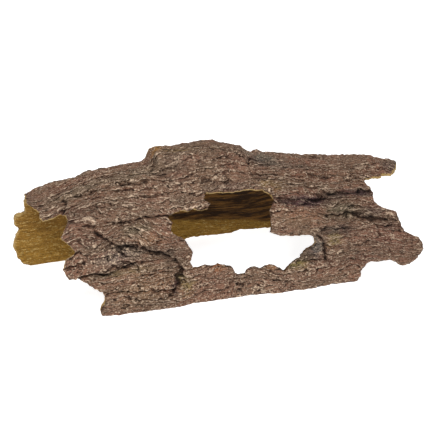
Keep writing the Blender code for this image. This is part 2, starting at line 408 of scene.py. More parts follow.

# %% [markdown]
# ### Where the plates and cracks are
# The big ones are listed one by one, because they give this piece its face: the eave over the left of
# the window, the tongue that hangs beside it, the block to its right, the long seams of the
# crown, and the wide lobe at the right end. The back wall gets its own set in the same manner.
# A plate is given by its line, how far it stands up, how far back that fades, which side is
# raised, and how deep and how wide the gap under it is. A crack is a line, a width and a depth.

# %% Plates: line, rise, reach, raised side, gap, gap width
PLATES = [
    ([(-103, -41.5), (-90, -43), (-75, -45), (-60, -44), (-38, -46.5), (-16, -44)],
     2.5, 16, 1, 2.0, 1.6),
    ([(-96, -46.5), (-92, -52), (-88, -56), (-83, -59), (-66, -64), (-52, -70), (-42, -78),
      (-38, -84), (-37, -91)], 3.2, 13, 1, 2.3, 4.0),
    ([(-112, -78), (-103, -76), (-97, -77), (-89, -78), (-85, -76), (-66, -74), (-61, -75)],
     2.6, 12, 1, 2.0, 2.6),
    ([(-67, -83), (-58, -83.5), (-48, -84)], 1.0, 7, 1, 1.5, 0.9),
    ([(-93, -92), (-82, -93), (-73, -95.5), (-66, -95)], 1.4, 9, 1, 1.2, 0.9),
    ([(-60, -96.5), (-53, -96), (-45, -97.5)], 1.6, 8, 1, 2.0, 1.2),
    ([(-72, -104), (-65, -105), (-57, -104)], 1.0, 7, 1, 1.0, 0.8),
    ([(-114, -14), (-112, -18), (-113, -23), (-114, -30)], 1.8, 16, 1, 1.6, 1.2),
    ([(-113, -15), (-104, -16.5), (-95, -18), (-84, -15.5), (-72, -16.5), (-57, -19)],
     1.3, 12, 1, 1.2, 0.9),
    ([(-110, -22), (-98, -22), (-88, -23.5), (-70, -22), (-52, -25)], 0.9, 8, 1, 0.8, 0.8),
    ([(-95, -30.5), (-84, -32), (-76, -32)], 1.1, 8, 1, 0.9, 0.8),
    ([(-44, -10), (-30, -9), (-12, -8), (4, -9), (15, -13)], 0.8, 12, 1, 0.0, 1.0),
    ([(20, -20.5), (34, -20), (46, -21), (58, -22), (66, -20), (74, -19), (77, -17), (92, -18.5)],
     1.4, 10, 1, 1.6, 1.0),
    ([(74, -14.5), (90, -15), (104, -14)], 0.9, 9, 1, 0.6, 0.7),
    ([(98, -15), (108, -14.5), (120, -13.5)], 0.8, 6, 1, 1.0, 0.8),
    ([(126, 8), (126, 0), (125, -6), (121, -11)], 0.8, 8, -1, 1.2, 1.0),
    ([(31, -39.5), (40, -39.8), (52, -40.3), (60, -40), (70, -39.4)], 2.4, 12, 1, 1.7, 5.0),
    ([(29, -46.8), (40, -46.2), (52, -46.6), (67, -46.8), (70, -45.5)], 1.8, 14, -1, 0.0, 1.0),
    ([(70, -46), (69.5, -53), (68, -60), (64, -68)], 1.4, 12, -1, 0.8, 1.2),
    ([(66, -37), (72, -34.5), (80, -34.5), (92, -34), (107, -32.5)], 2.2, 10, 1, 1.7, 4.0),
    ([(70, -40.5), (80, -40), (91, -40)], 1.2, 7, -1, 0.0, 1.0),
    ([(70, -50), (80, -50), (91, -49.5)], 1.2, 7, 1, 1.0, 1.0),
    ([(69, -53), (80, -52), (92, -50.5), (104, -54), (118, -59)], 1.5, 8, 1, 2.2, 2.0),
    ([(91.5, -59), (98, -58.5), (103, -60), (106, -64)], 1.8, 16, -1, 1.0, 1.5),
    ([(66, -69), (78, -68.5), (92, -68.5), (106, -66), (118, -65), (127, -67)],
     1.4, 24, -1, 1.0, 1.2),
]
CRACKS = [
    ([(-42, -88), (-42, -95), (-45, -100), (-47.5, -103)], 2.1, 3.4),
    ([(-57, -55), (-56, -60), (-55.5, -66)], 0.9, 1.2),
    ([(-130, -14), (-114, -14.5)], 0.8, 1.0),
    ([(-98, -4.5), (-95, -8.5)], 1.1, 1.8),
    ([(-105.5, -16), (-102, -17.5)], 1.0, 1.4),
    ([(-50, 6), (-50, 0)], 1.2, 0.8),
    ([(20.5, 4), (22, -1), (22.5, -6), (21, -10), (18, -15)], 1.1, 2.2),
    ([(9, 2), (12, -2), (12.5, -7), (10, -12)], 0.7, 1.7),
    ([(15, 2), (17, -2), (16.5, -6), (18, -11)], 0.7, 1.8),
    ([(-9, 0), (-6, -4), (-5.5, -8)], 0.7, 1.6),
    ([(1, 1), (4, -3), (3.5, -8), (6, -11)], 0.7, 1.6),
    ([(-20, -2), (-17, -7), (-18, -11)], 0.6, 0.8),
    ([(26, -16.5), (26.5, -22)], 0.8, 1.2),
    ([(92, -54), (100, -56.5), (110, -57.5), (119, -56)], 1.8, 2.4),
    ([(64, -63.5), (74, -63.5), (84, -63), (91, -63.5)], 2.4, 2.0),
    ([(61, -69.5), (66, -73), (66.5, -80), (67, -87)], 1.2, 2.8),
    ([(67, -88), (58, -87.5), (50, -88)], 1.0, 1.5),
    ([(70, -89), (80, -89), (89, -89)], 0.8, 1.1),
    ([(80, -94), (90, -94)], 0.8, 0.9),
    ([(55, -92), (56, -96), (55, -101)], 0.9, 1.0),
    ([(-5, -97.5), (1, -96.5)], 0.9, 1.2),
    ([(-4, -100), (-3, -107)], 0.8, 1.0),
    ([(121, -79), (131, -79)], 0.7, 0.7),
    ([(40, -97), (36, -104)], 0.8, 0.8),
    ([(-27, -22), (-26, -28)], 0.7, 1.2),
    ([(-19, -21), (-18, -26)], 0.7, 1.2),
    ([(-44, -20), (-42, -27), (-44, -32)], 0.7, 1.0),
    ([(109, -66), (108, -74)], 0.7, 1.0),
    ([(85, -70), (84, -80)], 0.7, 1.0),
    ([(97, -74), (108, -76), (117, -74)], 0.7, 0.9),
    ([(88, -84), (96, -88), (104, -87)], 0.7, 0.9),
    ([(44, -50), (45, -58), (43, -66)], 0.6, 0.8),
    ([(-92, -62), (-90, -70)], 0.7, 1.0),
    ([(-80, -62), (-79, -71)], 0.7, 1.0),
]
BACK_PLATES = [
    ([(-132, 24), (-104, 27), (-70, 33), (-42, 31)], 2.0, 16, -1, 1.6, 1.4),
    ([(-126, 62), (-92, 58), (-60, 66), (-30, 63)], 2.6, 18, -1, 2.0, 2.0),
    ([(-120, 88), (-84, 84), (-52, 92)], 2.0, 14, -1, 1.6, 1.5),
    ([(-12, 46), (20, 52), (58, 56), (92, 50), (124, 54)], 2.6, 18, -1, 2.2, 2.0),
    ([(-20, 80), (16, 86), (50, 80), (76, 84)], 2.2, 16, -1, 1.8, 1.6),
    ([(70, 74), (92, 78), (118, 74)], 2.0, 14, -1, 1.6, 1.5),
    ([(36, 22), (66, 26), (104, 23), (134, 26)], 1.6, 12, -1, 1.4, 1.2),
    ([(-60, 48), (-52, 58), (-56, 70), (-48, 82)], 1.8, 12, -1, 1.6, 1.6),
    ([(24, 58), (30, 68), (27, 80)], 1.6, 12, 1, 1.4, 1.4),
    ([(-100, 36), (-94, 46), (-97, 57)], 1.5, 10, 1, 1.4, 1.3),
    ([(88, 32), (93, 42), (90, 50)], 1.5, 10, -1, 1.2, 1.2),
]
print(len(PLATES) + len(BACK_PLATES), "plate edges and", len(CRACKS), "cracks")

# %% [markdown]
# ### The burl
# On the crown the bark swells over an old knot: steep at its left, with a long shoulder to the
# right. One list gives its height along the grain, and a second one fades it round the curl. At
# its left end it reaches less far down the front. Then all the lines are carved.

# %% Raise the burl and carve the lines
BURL_AT = (-51, -48.5, -46, -42, -33, -23, -8, -2, 4, 12, 20, 25, 28)
BURL_HEIGHT = (0, 2.0, 7.5, 9.5, 9.5, 9.5, 9.8, 10.0, 8.8, 7.2, 5.6, 2.0, 0)
BURL_FADE_AT, BURL_FADE = (-28, -20, -16, -8, 14, 34, 48), (0, 0.12, 0.35, 1, 1, 0.3, 0)

burl = np.interp(ALONG_RAGGED + 2.5 * noise(ALONG / 5, GIRTH / 6, 79), BURL_AT, BURL_HEIGHT)
front_reach = np.interp(ALONG, (-46, -24), (0.55, 1.0))
fade_at = np.where(GIRTH_RAGGED < 0, GIRTH_RAGGED / front_reach, GIRTH_RAGGED)
burl = blurred(burl * np.interp(fade_at, BURL_FADE_AT, BURL_FADE), 0.8)
carved = np.zeros(ALONG.shape)
for line, rise, reach, up, gap, gap_width in PLATES + BACK_PLATES:
    plate_edge(carved, line, rise, reach, up, gap, gap_width)
for line, width, depth in CRACKS:
    crack(carved, line, width, depth)
print("The plates and cracks run from", carved.min().round(1), "to", carved.max().round(1), "mm")

# %% [markdown]
# ## The way the grain runs
# Over most of the sheet the grain runs along the tunnel. On the tongue, the eave and the right
# lobe it slants. Each of those places turns the grain about its own centre, most in the middle
# and less further out, as a knot does. A knot is given by its centre, its reach along and round
# the sheet, and its lean in degrees. `flow` gives the turned places, and every pattern that
# follows the grain is drawn on them.

# %% Turn the grain round its knots
KNOTS = [(-64, -57, 34, 14, -36), (112, -82, 32, 20, -18), (-75, -33, 50, 11, -15),
         (30, -99, 34, 9, -14), (-102, -58, 16, 14, -45), (48, -57, 22, 10, 12),
         (82, -52, 16, 9, 25), (-70, 60, 40, 20, 18), (60, 70, 44, 20, -16)]


def flow(along, girth):
    """Places turned so that the grain always runs along their first number."""
    for at, round_at, reach, girth_reach, lean in KNOTS:
        offset_x, offset_y = along - at, girth - round_at
        near = np.exp(-(offset_x / reach) ** 2 - (offset_y / girth_reach) ** 2)
        turn = np.radians(lean) * near
        along = at + offset_x * np.cos(turn) + offset_y * np.sin(turn)
        girth = round_at + offset_y * np.cos(turn) - offset_x * np.sin(turn)
    return along, girth


FLOW_ALONG, FLOW_GIRTH = flow(ALONG_RAGGED, GIRTH_RAGGED)
print("The grain turns round", len(KNOTS), "knots")

# %% [markdown]
# ## Scales
# Between the big plates the bark is scaly. Each scale is a thin sliver that lies along the
# grain, lifts at one edge and is torn at its ends. Here they are laid one by one, a few thousand
# of them, each adding a low ramp with a sharp edge, so that they overlap as real ones do.

# %% Lay the scales
SCALE_COUNT = 3400
SCALE_LEAN = 10
dice = np.random.default_rng(4)


def lay_scale(heights, at, length, width, rise, turn, torn):
    """One sliver of bark: a low ramp across its width with a sharp torn edge."""
    reach = 1.6 * length + 2
    rows = slice(*np.searchsorted(along_line, (at[0] - reach, at[0] + reach)))
    columns = slice(*np.searchsorted(girth_line, (at[1] - reach, at[1] + reach)))
    middle_x, middle_y = flow(*at)
    offset_x = FLOW_ALONG[rows, columns] - middle_x
    offset_y = FLOW_GIRTH[rows, columns] - middle_y
    lengthwise = (offset_x * math.cos(turn) + offset_y * math.sin(turn)) / length
    sideways = (offset_y * math.cos(turn) - offset_x * math.sin(turn)) / width
    shape = np.abs(lengthwise) ** 2.5 + np.abs(sideways) ** 2.5 + torn[rows, columns]
    lifted = 0.5 + 0.5 * np.clip(sideways, -1, 1)
    heights[rows, columns] += rise * lifted * (1 - smooth_step(shape, 0.8, 1.15))


torn = 0.55 * noise(ALONG / 3.0, GIRTH / 2.2, 31)
scales = np.zeros(ALONG.shape)
for number in range(SCALE_COUNT):
    at = dice.uniform((-150, -114), (150, 114))
    length = 2.0 * math.exp(dice.normal(0.5, 0.5))
    width = length / dice.uniform(1.6, 4.0)
    turn = math.radians(dice.normal(0, SCALE_LEAN))
    lift = dice.choice((-1, 1), p=(0.7, 0.3)) * (1 if at[1] < 0 else -1)
    lay_scale(scales, at, length, width * lift, dice.uniform(0.3, 0.95), turn, torn)
scales -= blurred(scales, 9)
print("Scales stand", scales.std().round(2), "mm rough")

# %% [markdown]
# ## Ledges
# Bark grows in layers, and where they break off they leave ledges, one under the other like
# roof shingles. A phase counts them down the wall: it grows by one from each ledge to the next,
# and a swell bends and joins them. The height of a ledge is then what is left of the phase after
# the whole number is taken off, a slow rise with a sharp drop at the end. There are broad ledges
# and fine ones, and `broad_phase` and `fine_phase` count them. Both are smooth, so they are kept
# as marks for the colours too.

# %% Carve the ledges
BROAD_LEDGE, FINE_LEDGE = 5.6, 2.1
ABOVE_ZERO = (40, 90)


def ledges(phase, sharp):
    """A slow rise from 0 to 1 over each whole number, then a sharp drop."""
    part = phase - np.floor(phase)
    return part ** 1.3 * (1 - smooth_step(part, sharp, 1.0))


swell = fractal(FLOW_ALONG / 34, FLOW_GIRTH / 11, 51, 4, 0.55)
fine_swell = fractal(FLOW_ALONG / 13, FLOW_GIRTH / 4.5, 56, 3, 0.6)
broad_phase = np.abs(FLOW_GIRTH) / BROAD_LEDGE + 0.8 * swell + ABOVE_ZERO[0]
fine_phase = np.abs(FLOW_GIRTH) / FINE_LEDGE + 0.8 * fine_swell + ABOVE_ZERO[1]
layers = 1.1 * ledges(broad_phase, 0.86) + 0.55 * ledges(fine_phase, 0.75)
print("The ledges stand", layers.std().round(2), "mm rough")

# %% [markdown]
# ## Calm and gravelly places
# The bark isn't equally rough all over. The block, the lobe and the burl's front are calm, and
# low on the left wall the scales have crumbled to gravel. `calm` is a map of that, above zero
# where it is calm and below zero where it is gravelly. Each entry has a centre, a size and a
# share. The ledges fade in both, and pebbles take their place in the gravel.

# %% Map the calm and the gravel
CALM = [
    ((50, -58), (20, 11), 1.6), ((108, -80), (34, 16), 0.4), ((80, -12), (70, 26), 0.4),
    ((0, -20), (30, 8), 0.8), ((-26, -7), (22, 9), 0.6), ((-104, -41), (12, 6), 1.3),
    ((5, 6), (30, 9), 1), ((-82, -66), (36, 10), -1), ((-66, -95), (30, 16), -0.6),
    ((5, -98), (40, 12), -0.4),
]
calm = np.zeros(ALONG.shape)
for place, size, share in CALM:
    away = ((ALONG - place[0]) / size[0]) ** 2 + ((GIRTH - place[1]) / size[1]) ** 2
    calm += share * np.exp(-away ** 2)
roughness = np.clip(0.85 + 0.5 * noise(ALONG / 26, GIRTH / 16, 64), 0.4, 1.3)
roughness *= 1 - 0.2 * np.abs(calm)
gravel = np.clip(-calm, 0, 1)
pebbles = noise(ALONG / 2.4, GIRTH / 2.2, 72) + 0.5 * noise(ALONG / 1.3, GIRTH / 1.2, 73)
print("Calm runs from", calm.min().round(2), "to", calm.max().round(2))

# %% [markdown]
# ## Add up the grain
# The grain is the sum of the ledges, long ridges, scales, pebbles and a little grit. Two places
# differ. The lip over the window is worn nearly smooth, and the crown right of the burl carries
# a few knobs.

# %% Add up the grain
coarse_ridges = ridged(FLOW_ALONG / 10, FLOW_GIRTH / 3.0, 41, 2, 0.6)
knob_patch = np.exp(-((ALONG - 40) / 20) ** 2 - ((GIRTH - 2) / 14) ** 2)
knobs = noise(ALONG / 4.0, GIRTH / 4.0, 68) * knob_patch
smooth_lip = np.exp(-((ALONG - 5) / 20) ** 6 - ((GIRTH + 33) / 4) ** 4)
grain = (layers + coarse_ridges * 0.7 + scales * 0.6) * roughness * (1 - 0.75 * smooth_lip)
grain *= 1 - 0.4 * gravel
grain += 0.8 * pebbles * gravel + 2.2 * knobs + 0.5 * noise(ALONG / 3.2, GIRTH / 2.4, 69)
grain -= grain.mean()
print("The grain stands", grain.std().round(2), "mm rough")

# %% [markdown]
# ## Fit the crown and the foot
# The arch alone gives a crown line that is too even. Right of the burl it dips, it rises again to
# the tip of the right end, and it sinks at the left end. The front wall swells a little along its
# foot. Each of these is a list of heights along the grain that fades round the curl. Low lumps
# keep the rest from looking turned on a lathe, and every torn edge thins a little.

# %% Sum the relief
LEFT_SINK_AT, LEFT_SINK = (-140, -132, -122, -112, -100, -90), (5, 4.4, 2.4, 2.0, 0.8, 0)
RIGHT_RISE_AT = (100, 122, 125.5, 127, 130, 134, 139, 146)
RIGHT_RISE = (0, 2.6, 2.8, 0.4, 0.8, 2.6, 3.4, 4.8)
DIP_AT, DIP = (14, 40, 62, 74, 112, 122), (0, 1.2, 1.4, 2.4, 2.4, 2.0)
SWELL_AT, SWELL = (-100, -85, -50, -30, 10, 30, 52, 70), (1, 3, 3.5, 1, 0, 2.5, 2.5, 0)
THINNEST = 1.6

lumps = fractal(ALONG / 18, GIRTH / 11, 61, 2, 0.5)
crown_dip = np.interp(ALONG, DIP_AT, DIP) * np.exp(-(GIRTH / 22) ** 2)
end_rise = np.interp(ALONG, RIGHT_RISE_AT, RIGHT_RISE) * np.exp(-((GIRTH - 1) / 15) ** 4)
end_rise -= np.interp(ALONG, LEFT_SINK_AT, LEFT_SINK) * np.exp(-(GIRTH / 20) ** 2)
foot_swell = np.interp(ALONG, SWELL_AT, SWELL) * smooth_step(-GIRTH, 84, 104)
relief = burl + carved + grain + 0.8 * lumps - 0.6 * near_edge - crown_dip + end_rise + foot_swell
relief = np.maximum(relief, THINNEST - WALL)
print("The relief runs from", relief.min().round(1), "to", relief.max().round(1), "mm")

# %% [markdown]
# ## Cut the blank
# The flat outline is drawn as a curve with the window as a second ring, which leaves a hole.
# Given half the wall's thickness each way, and made a mesh, it is a closed slab. A voxel remesh
# then covers it with small even squares, so that there is something to press the relief into.

# %% Draw the outline and give it thickness
VOXEL = 0.75

outline = bpy.data.curves.new("bark_outline", "CURVE")
outline.dimensions = "2D"
outline.fill_mode = "BOTH"
outline.extrude = WALL * MM / 2
for ring in (OUTLINE, WINDOW):
    spline = outline.splines.new("POLY")
    spline.points.add(len(ring) - 1)
    for point, (along, girth) in zip(spline.points, ring):
        point.co = (along * MM, girth * MM, 0, 1)
    spline.use_cyclic_u = True
bark = bpy.data.objects.new("bark_sheet", outline)
bpy.context.collection.objects.link(bark)
bark.location.z = -WALL * MM / 2
bpy.ops.object.select_all(action="DESELECT")
bark.select_set(True)
bpy.context.view_layer.objects.active = bark
bpy.ops.object.convert(target="MESH")
bark = bpy.context.object
bpy.ops.object.transform_apply(location=True)
bpy.ops.object.mode_set(mode="EDIT")
bpy.ops.mesh.select_all(action="SELECT")
bpy.ops.mesh.remove_doubles(threshold=0.01 * MM)
bpy.ops.mesh.normals_make_consistent(inside=False)
bpy.ops.object.mode_set(mode="OBJECT")
even = bark.modifiers.new("even_squares", "REMESH")
even.mode = "VOXEL"
even.voxel_size = VOXEL * MM
bpy.ops.object.modifier_apply(modifier=even.name)
print("The blank has", len(bark.data.vertices), "points")

# %% [markdown]
# ## Press the relief in
# Each point is nudged by the same kind of wobble, which tears the straight edges, and then
# lifted by the map. A point on the outer face takes the whole height, one on the inner face none
# of it, and one on the rim its share. The inner face is smooth where it lay against the wood: it
# has faint ripples and follows the burl a little. It also comes up to meet the outer face, so
# that the wall thins at the torn edges, but for the tip of the right end, which stays thick.
#
# Two marks are kept on the points: how far inward each lies, and how near it is to a torn rim.
# The rim is ochre almost all round. Only the top of the strip below the window is brown, and part
# of the block's edge by the window is browned as painted shade, so the mark is taken below zero there.
#
# The sheet now has more points than it needs where it is smooth, so Decimate takes them out
# there and leaves them where the bark is rough.

# %% Wobble, press, and thin out
MOST_FACES = 196000


def points_of(mesh):
    points = np.empty(len(mesh.vertices) * 3)
    mesh.vertices.foreach_get("co", points)
    return points.reshape(-1, 3)


def move_points(mesh, points):
    mesh.vertices.foreach_set("co", np.ascontiguousarray(points, dtype=np.float32).ravel())
    mesh.update()


def keep_mark(name, values):
    """Store one number for each point of the bark."""
    mark = bark.data.attributes.new(name, "FLOAT", "POINT")
    mark.data.foreach_set("value", values.astype(np.float32))


along, girth, depth = (points_of(bark.data) / MM).T
rim_full = read_map(near_edge, along, girth)
torn_rim = smooth_step(rim_full, 0.80, 0.97)
outward = np.clip(depth / WALL + 1, 0, 1)
square_foot = smooth_step(FOOT - np.abs(girth), 0, 5)
along = along + 0.75 * wobble(along, girth, 71)
girth = girth + 0.75 * wobble(along, girth, 81) * square_foot
girth = np.clip(girth, -FOOT, FOOT)
ripples = 0.5 * fractal(along / 26, girth / 11, 91, 3, 0.55)
ripples += 0.25 * ridged(along / 14, girth / 2.6, 95, 2)
thinned = 0.9 * rim_full * (1 - smooth_step(along - np.abs(girth), 80, 95))
outer_rise = read_map(relief, along, girth)
inner_rise = ripples + thinned + 0.35 * read_map(burl, along, girth)
depth = depth + outer_rise * outward + inner_rise * (1 - outward)
move_points(bark.data, np.stack([along, girth, depth], axis=1) * MM)
brown_and_shaded_rim = np.exp(-((along - 12) / 46) ** 6 - ((girth + 86) / 12) ** 6)
# Painted shade: this second term browns the block's torn edge near the window for the shade on it.
brown_and_shaded_rim += 0.8 * np.exp(-((along - 29) / 5) ** 4 - ((girth + 54) / 13) ** 4)
keep_mark("inward", 1 - outward)
keep_mark("torn_rim", torn_rim * (1 - 1.7 * brown_and_shaded_rim))
fewer = bark.modifiers.new("fewer_where_smooth", "DECIMATE")
fewer.ratio = min(1.0, MOST_FACES / (2 * len(bark.data.polygons)))
bpy.ops.object.modifier_apply(modifier=fewer.name)
sides = np.empty(len(bark.data.vertices))
bark.data.attributes["inward"].data.foreach_get("value", sides)
print("The pressed sheet has", len(bark.data.polygons), "faces")
print((sides < 0.5).sum(), "points lie outside and", (sides > 0.5).sum(), "inside")

# %% [markdown]
# ## Weathered places and painted shade
# Real bark isn't one brown. The crown and the old breaks are greyer or greener, and fresh breaks
# are redder or orange. The seams are painted purple or nearly black as shade under the overhanging
# plates, and so are the bands under the tongue's edge. Each such place is listed with its centre,
# its size, its colour as it looks on a screen, and its share. Later places lie over earlier ones.

# %% Weathered places and painted shade: centre, size, colour, share
PLAIN_BROWN = (127, 92, 74)


def colour(red, green, blue):
    """A colour given as it looks on a screen, 0 to 255, turned into light."""
    parts = [value / 255 for value in (red, green, blue)]
    return tuple(part / 12.92 if part <= 0.04045 else ((part + 0.055) / 1.055) ** 2.4
                 for part in parts) + (1,)


TINTS = [
    ((-42, 9), (4.5, 7), (176, 120, 36), 0.95), ((-27, -1), (13, 2.8), (190, 156, 96), 0.8),
    ((-8, -10), (32, 9), (98, 74, 60), 0.75), ((-35, -8), (10, 4.5), (112, 76, 68), 0.6),
    ((-10, 5), (30, 12), (114, 87, 70), 0.75), ((34, 0), (16, 13), (88, 86, 80), 0.9),
    ((54, -10), (22, 5), (100, 92, 80), 0.5), ((40, -30), (5, 3), (154, 118, 64), 0.4),
    ((3, -32), (21, 4.4), (102, 72, 64), 0.85), ((38, -31), (34, 8), (100, 76, 62), 0.6),
    ((-36, -16), (11, 14), (96, 72, 60), 0.8), ((-16, -30), (7, 4), (94, 70, 58), 0.7),
    # Painted shade: the purple and near-black seam bands at (55, -42.9), (78, -37.5), (97, -36) and
    # (76, -65) stand for the shadow under the overhanging plates.
    ((55, -42.9), (22, 4.4), (72, 50, 58), 0.95), ((78, -37.5), (10, 3.2), (72, 56, 56), 0.9),
    ((97, -36), (13, 3.4), (66, 48, 56), 0.95), ((81, -50), (17, 7.5), (90, 84, 66), 0.85),
    ((76, -65), (15, 4), (62, 48, 50), 0.95), ((133, -3), (8, 10), (100, 80, 76), 0.75),
    ((143, 6), (5, 6), (84, 80, 72), 0.85), ((34, -33), (4, 3), (170, 130, 64), 0.6),
    # Painted shade: the dark bands at (-80, -62), (-66, -66) and (-52, -71) stand for the shadow under
    # the tongue's edge.
    ((29, -29), (4, 2.5), (164, 130, 64), 0.5), ((-80, -62), (9, 3.2), (70, 60, 52), 0.75),
    ((-46, -80), (4, 7), (66, 58, 52), 0.75), ((-94, -79.5), (12, 3.2), (74, 62, 46), 0.8),
    ((-108, -33), (28, 7), (94, 70, 58), 0.85), ((-68, -42), (14, 4.5), (110, 84, 70), 0.5),
    ((-76, -31), (9, 3.5), (108, 84, 70), 0.5), ((-100, -56), (12, 7), (100, 77, 65), 0.7),
    ((-43, -77), (9, 7), (98, 74, 60), 0.75), ((-37, -37), (9, 5), (92, 70, 58), 0.8),
    ((-78, -80.5), (16, 2.6), (128, 112, 74), 0.6), ((-66, -66), (9, 3.2), (66, 58, 50), 0.75),
    ((-52, -71), (8, 3.5), (64, 56, 50), 0.75), ((-72, -75.5), (8, 2.2), (72, 48, 38), 0.8),
    ((-95.5, -103), (2.6, 6), (84, 80, 64), 0.8), ((-40, -90), (2.2, 4), (172, 160, 100), 0.8),
    ((106, -52), (11, 6), (82, 66, 62), 0.7), ((48, -56), (15, 7), (148, 112, 86), 0.6),
    ((110, -80), (30, 14), (122, 82, 69), 0.75), ((75, -88), (34, 8), (100, 73, 60), 0.7),
    ((116, -63), (9, 5), (100, 76, 68), 0.6), ((51, -84), (9, 6), (86, 74, 60), 0.8),
    ((50, -63), (8, 5), (112, 84, 68), 0.7), ((73, -73), (5, 5), (142, 124, 74), 0.8),
    ((60, -77), (6, 8.5), (84, 82, 82), 0.95), ((44, -90), (8, 3.5), (118, 110, 58), 0.9),
    ((-12, -86), (5, 3), (160, 98, 56), 0.9), ((25, -90), (5, 3), (160, 102, 56), 0.85),
    ((-84, -68), (17, 6), (118, 108, 100), 0.75), ((-66, -94), (26, 12), (144, 112, 84), 0.6),
    ((-36, -97), (5, 6), (152, 132, 86), 0.8), ((-44.5, -96), (2.5, 7), (72, 52, 54), 0.8),
    ((-62, -37), (24, 8), (130, 98, 81), 0.4), ((-100, -12), (26, 7), (116, 106, 86), 0.65),
    ((-60, -8), (16, 9), (112, 104, 84), 0.55), ((-68, -52), (12, 4.5), (114, 108, 86), 0.65),
    ((-60, -61), (9, 4), (150, 108, 78), 0.65), ((10, -100), (30, 8), (130, 98, 80), 0.5),
    ((-60, -104), (16, 6), (98, 75, 60), 0.6), ((-90, 30), (30, 14), (112, 104, 84), 0.6),
    ((20, 40), (34, 12), (134, 98, 80), 0.5), ((90, 80), (26, 14), (106, 96, 80), 0.6),
    ((-70, 84), (30, 12), (134, 106, 82), 0.6),
]
print(len(TINTS), "weathered places")

# %% [markdown]
# ## Marks for the colours, and the roll
# What the colours need is easiest to read while the sheet is flat. It is stored on the points:
#
# - `grain_place`, the place turned with the grain, in metres, on which all patterns are drawn
# - `stands_fine` and `stands_broad`, how far a point stands over its close and wider neighbours
# - `crown_umber_and_shade` and `low_wall_pale_and_lit`, where the inside is umber, partly as painted
#   shade over the crown, and where it is paler near the feet, partly as painted light
# - `base_colour`, plain brown with the weathered places and the painted shade laid over it
# - `in_the_dark`, how much darker than plain brown that is, which dulls the worn flecks there
# - `calm`, `broad_phase` and `fine_phase`, the maps of the same names
#
# Then the sheet is rolled.

# %% Store the marks
FINE_REACH, BROAD_REACH = 1.4, 4.5
BURL_LEFT_OUT = 0.7

relief_fine = relief - burl - blurred(relief - burl, FINE_REACH)
relief_broad = relief - BURL_LEFT_OUT * burl
relief_broad = relief_broad - blurred(relief_broad, BROAD_REACH)
along, girth, depth = (points_of(bark.data) / MM).T


def keep_triple(name, values):
    """Store three numbers for each point of the bark."""
    mark = bark.data.attributes.new(name, "FLOAT_VECTOR", "POINT")
    mark.data.foreach_set("vector", np.ascontiguousarray(values, dtype=np.float32).ravel())


grain_place = np.stack([*flow(along, girth), depth], axis=1) * MM
keep_triple("grain_place", grain_place)
keep_mark("stands_fine", read_map(relief_fine, along, girth))
keep_mark("stands_broad", read_map(relief_broad, along, girth))
keep_mark("calm", read_map(calm, along, girth))
keep_mark("broad_phase", read_map(broad_phase, along, girth))
keep_mark("fine_phase", read_map(fine_phase, along, girth))
print("Fine relief stands", relief_fine.std().round(2), "mm and broad", relief_broad.std().round(2))

# %% Umber and painted shade on the inside
UMBER_EDGE_AT, UMBER_EDGE = (-20, 0, 55), (92.5, 94, 104)

# Painted shade: the umber over the inside crown is partly its own colour and partly stands for the
# shade deep under the crown.
umber_and_shade = np.interp(along, UMBER_EDGE_AT, UMBER_EDGE) - np.abs(girth)
umber_and_shade = smooth_step(umber_and_shade + 5 * noise(along / 30, girth / 12, 105), -4, 8)
umber_and_shade *= smooth_step(along + 0.2 * girth, -106, -74)
keep_mark("crown_umber_and_shade", umber_and_shade)
# Painted light: the low wall is paler partly for the light that comes in through the window, and one
# more pool of it lies low on the back wall.
low_wall_pale_and_lit = smooth_step(np.abs(girth) + 6 * noise(along / 14, girth / 9, 107), 66, 100)
low_wall_pale_and_lit += np.exp(-((along + 14) / 18) ** 2 - ((girth - 98) / 16) ** 4)
keep_mark("low_wall_pale_and_lit", low_wall_pale_and_lit)
print("The stain covers", round(100 * float(umber_and_shade.mean())), "% of the points")

# %% Lay the weathered places and the painted shade
plain = np.array(colour(*PLAIN_BROWN)[:3])
near_along = along + 3.0 * noise(along / 6, girth / 4, 111)
near_girth = girth + 2.0 * noise(along / 8, girth / 3, 112)
base = np.tile(plain, (len(along), 1))
for place, size, tint, share in TINTS:
    away = ((near_along - place[0]) / size[0]) ** 2 + ((near_girth - place[1]) / size[1]) ** 2
    near = (share * np.exp(-away ** 1.5))[:, None]
    base = base * (1 - near) + np.array(colour(*tint)[:3]) * near
keep_triple("base_colour", base)
keep_mark("in_the_dark", np.clip(1 - base.mean(axis=1) / plain.mean(), 0, 1))
print("The browns run from", base.min(axis=0).round(3), "to", base.max(axis=0).round(3))

# %% Roll the sheet
move_points(bark.data, roll(along, girth, depth))
bark.name = "bark_surface"
bpy.ops.object.shade_smooth()
low, high = points_of(bark.data).min(axis=0), points_of(bark.data).max(axis=0)
print("The bark runs from", low.round(4), "to", high.round(4))

# %% [markdown]
# ## The finish
# Shader sums are easier to read as sums. `Wire` wraps a socket so that `a * 2 + b` adds the Math
# nodes, and `Finish` is a material that can add any node in one line.

# %% Sums on wires
class Wire:
    """A number on its way through a material."""

    def __init__(self, finish, socket):
        self.finish, self.socket = finish, socket

    def sum(self, operation, first, second=0.0):
        settings = {"operation": operation}
        return self.finish.node("ShaderNodeMath", settings, {0: first, 1: second})

    def __add__(self, other):
        return self.sum("ADD", self, other)

    def __sub__(self, other):
        return self.sum("SUBTRACT", self, other)

    def __rsub__(self, other):
        return self.sum("SUBTRACT", other, self)

    def __mul__(self, other):
        return self.sum("MULTIPLY", self, other)

    __radd__, __rmul__ = __add__, __mul__

    def remainder(self):
        return self.sum("FRACT", self)

    def limit(self, low=0.0, high=1.0):
        """0 at low, 1 at high, and held there."""
        sockets = {"Value": self, "From Min": low, "From Max": high}
        return self.finish.node("ShaderNodeMapRange", {"interpolation_type": "SMOOTHSTEP"}, sockets)


